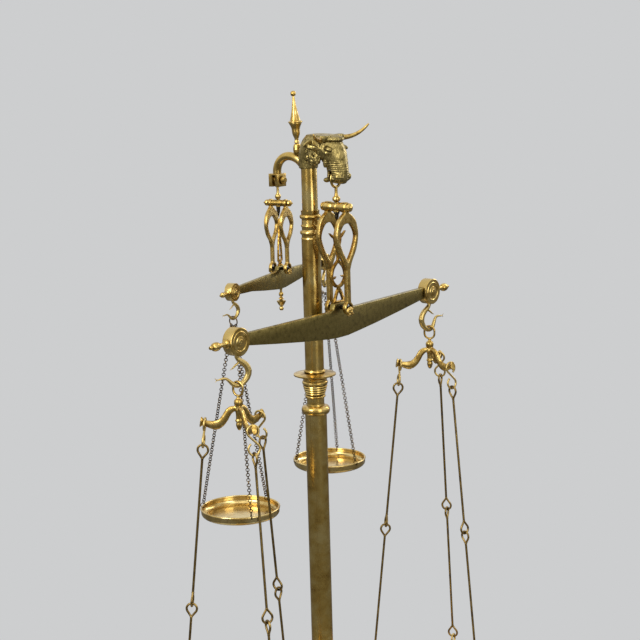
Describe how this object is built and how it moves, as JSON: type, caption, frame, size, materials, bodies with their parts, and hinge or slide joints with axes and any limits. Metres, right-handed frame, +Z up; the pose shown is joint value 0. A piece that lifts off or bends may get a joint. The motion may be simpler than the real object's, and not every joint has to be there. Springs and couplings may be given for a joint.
{
  "type": "weighing scale",
  "caption": "Pillar scale with a bull's head from whose mouth a large equal-arm balance hangs, and a small balance on a rear arm with dished pans on chains.",
  "frame": {"origin": "on the pillar's axis, at the underside of the base", "axes": "+Z up, +X along the large beam, -Y to the front, where the bull's head looks"},
  "size_m": [0.9223, 0.4193, 1.445],
  "materials": {
    "brass": "polished brass",
    "aged_brass": "aged brass",
    "bronze": "patinated cast brass",
    "steel": "dark tempered steel",
    "wood": "polished mahogany",
    "baize": "green baize"
  },
  "bodies": {
    "stand": {"base_plinth": "wood", "underside_felt": "baize", "column_foot": "brass", "foot_screws": "brass", "lower_column": "brass", "lower_collar": "brass", "column_capital": "brass", "upper_column": "brass", "upper_collar": "brass", "neck_tube": "brass", "tie_rod": "steel", "tie_nuts": "steel", "bull_head": "bronze", "bull_horns": "brass", "mouth_pin": "steel", "rear_arm": "brass", "arm_socket": "brass", "rear_pivot_pin": "brass", "finial": "brass"},
    "front_hanger": {"front_hanger": "aged_brass", "front_index_point": "steel"},
    "front_shears": {"front_shears_bar": "aged_brass", "front_cheeks": "aged_brass", "front_bearings": "steel"},
    "front_beam": {"front_beam": "bronze", "front_end_boxes": "aged_brass", "front_box_covers": "aged_brass", "front_end_finials": "aged_brass", "front_knife_edges": "steel", "front_pointer": "aged_brass"},
    "front_left_hook": {"front_left_hook": "bronze"},
    "front_right_hook": {"front_right_hook": "bronze"},
    "front_left_pan_set": {"front_left_spider": "aged_brass", "front_left_s_hooks": "aged_brass", "front_left_upper_rods": "aged_brass", "front_left_lower_rods": "aged_brass", "front_left_pan": "brass"},
    "front_right_pan_set": {"front_right_spider": "aged_brass", "front_right_s_hooks": "aged_brass", "front_right_upper_rods": "aged_brass", "front_right_lower_rods": "aged_brass", "front_right_pan": "brass"},
    "rear_hanger": {"rear_hanger": "aged_brass", "rear_index_point": "steel"},
    "rear_shears": {"rear_shears_bar": "aged_brass", "rear_cheeks": "aged_brass", "rear_bearings": "steel"},
    "rear_beam": {"rear_beam": "bronze", "rear_end_boxes": "aged_brass", "rear_box_covers": "aged_brass", "rear_end_finials": "aged_brass", "rear_knife_edges": "steel", "rear_pointer": "aged_brass", "rear_pendant": "aged_brass"},
    "rear_left_hook": {"rear_left_hook": "bronze"},
    "rear_right_hook": {"rear_right_hook": "bronze"},
    "rear_left_pan_set": {"rear_left_chains": "bronze", "rear_left_pan": "brass"},
    "rear_right_pan_set": {"rear_right_chains": "bronze", "rear_right_pan": "brass"}
  },
  "joints": [
    {"name": "front_hanger_swing", "type": "hinge", "parent": "stand", "child": "front_hanger", "pos_m": [0, -0.067, 1.283], "axis": [0, 1, 0], "range_deg": [-3, 3]},
    {"name": "front_shears_swivel", "type": "hinge", "parent": "front_hanger", "child": "front_shears", "pos_m": [0, -0.067, 1.219], "axis": [0, 0, 1], "range_deg": [-4, 4]},
    {"name": "front_beam_rock", "type": "hinge", "parent": "front_shears", "child": "front_beam", "pos_m": [0, -0.067, 1.014], "axis": [0, 1, 0], "range_deg": [-4.5, 4.5]},
    {"name": "front_left_hook_hang", "type": "hinge", "parent": "front_beam", "child": "front_left_hook", "pos_m": [-0.313, -0.067, 1.007], "axis": [0, 1, 0], "range_deg": [-4.5, 4.5]},
    {"name": "front_left_pan_swing", "type": "hinge", "parent": "front_left_hook", "child": "front_left_pan_set", "pos_m": [-0.313, -0.067, 0.9195], "axis": [0.9272, -0.3746, 0], "range_deg": [-3, 3]},
    {"name": "front_right_hook_hang", "type": "hinge", "parent": "front_beam", "child": "front_right_hook", "pos_m": [0.313, -0.067, 1.007], "axis": [0, 1, 0], "range_deg": [-4.5, 4.5]},
    {"name": "front_right_pan_swing", "type": "hinge", "parent": "front_right_hook", "child": "front_right_pan_set", "pos_m": [0.313, -0.067, 0.9195], "axis": [0.9848, -0.1736, 0], "range_deg": [-3, 3]},
    {"name": "rear_hanger_swing", "type": "hinge", "parent": "stand", "child": "rear_hanger", "pos_m": [0, 0.0825, 1.266], "axis": [0, 1, 0], "range_deg": [-3, 3]},
    {"name": "rear_shears_swivel", "type": "hinge", "parent": "rear_hanger", "child": "rear_shears", "pos_m": [0, 0.0825, 1.219], "axis": [0, 0, 1], "range_deg": [-4, 4]},
    {"name": "rear_beam_rock", "type": "hinge", "parent": "rear_shears", "child": "rear_beam", "pos_m": [0, 0.0825, 1.082], "axis": [-0.1959, 0.9806, 0], "range_deg": [-5, 5]},
    {"name": "rear_left_hook_hang", "type": "hinge", "parent": "rear_beam", "child": "rear_left_hook", "pos_m": [-0.19367, 0.0438, 1.07102], "axis": [-0.1959, 0.9806, 0], "range_deg": [-5, 5]},
    {"name": "rear_left_pan_swing", "type": "hinge", "parent": "rear_left_hook", "child": "rear_left_pan_set", "pos_m": [-0.19367, 0.0438, 1.01589], "axis": [0.9989, -0.0471, 0], "range_deg": [-3, 3]},
    {"name": "rear_right_hook_hang", "type": "hinge", "parent": "rear_beam", "child": "rear_right_hook", "pos_m": [0.19367, 0.1212, 1.07102], "axis": [-0.1959, 0.9806, 0], "range_deg": [-5, 5]},
    {"name": "rear_right_pan_swing", "type": "hinge", "parent": "rear_right_hook", "child": "rear_right_pan_set", "pos_m": [0.19367, 0.1212, 1.01589], "axis": [0.9041, 0.4274, 0], "range_deg": [-3, 3]}
  ],
  "couplings": [
    {"joint": "front_left_hook_hang", "follows": "front_beam_rock", "ratio": -1},
    {"joint": "front_right_hook_hang", "follows": "front_beam_rock", "ratio": -1},
    {"joint": "rear_left_hook_hang", "follows": "rear_beam_rock", "ratio": -1},
    {"joint": "rear_right_hook_hang", "follows": "rear_beam_rock", "ratio": -1}
  ]
}
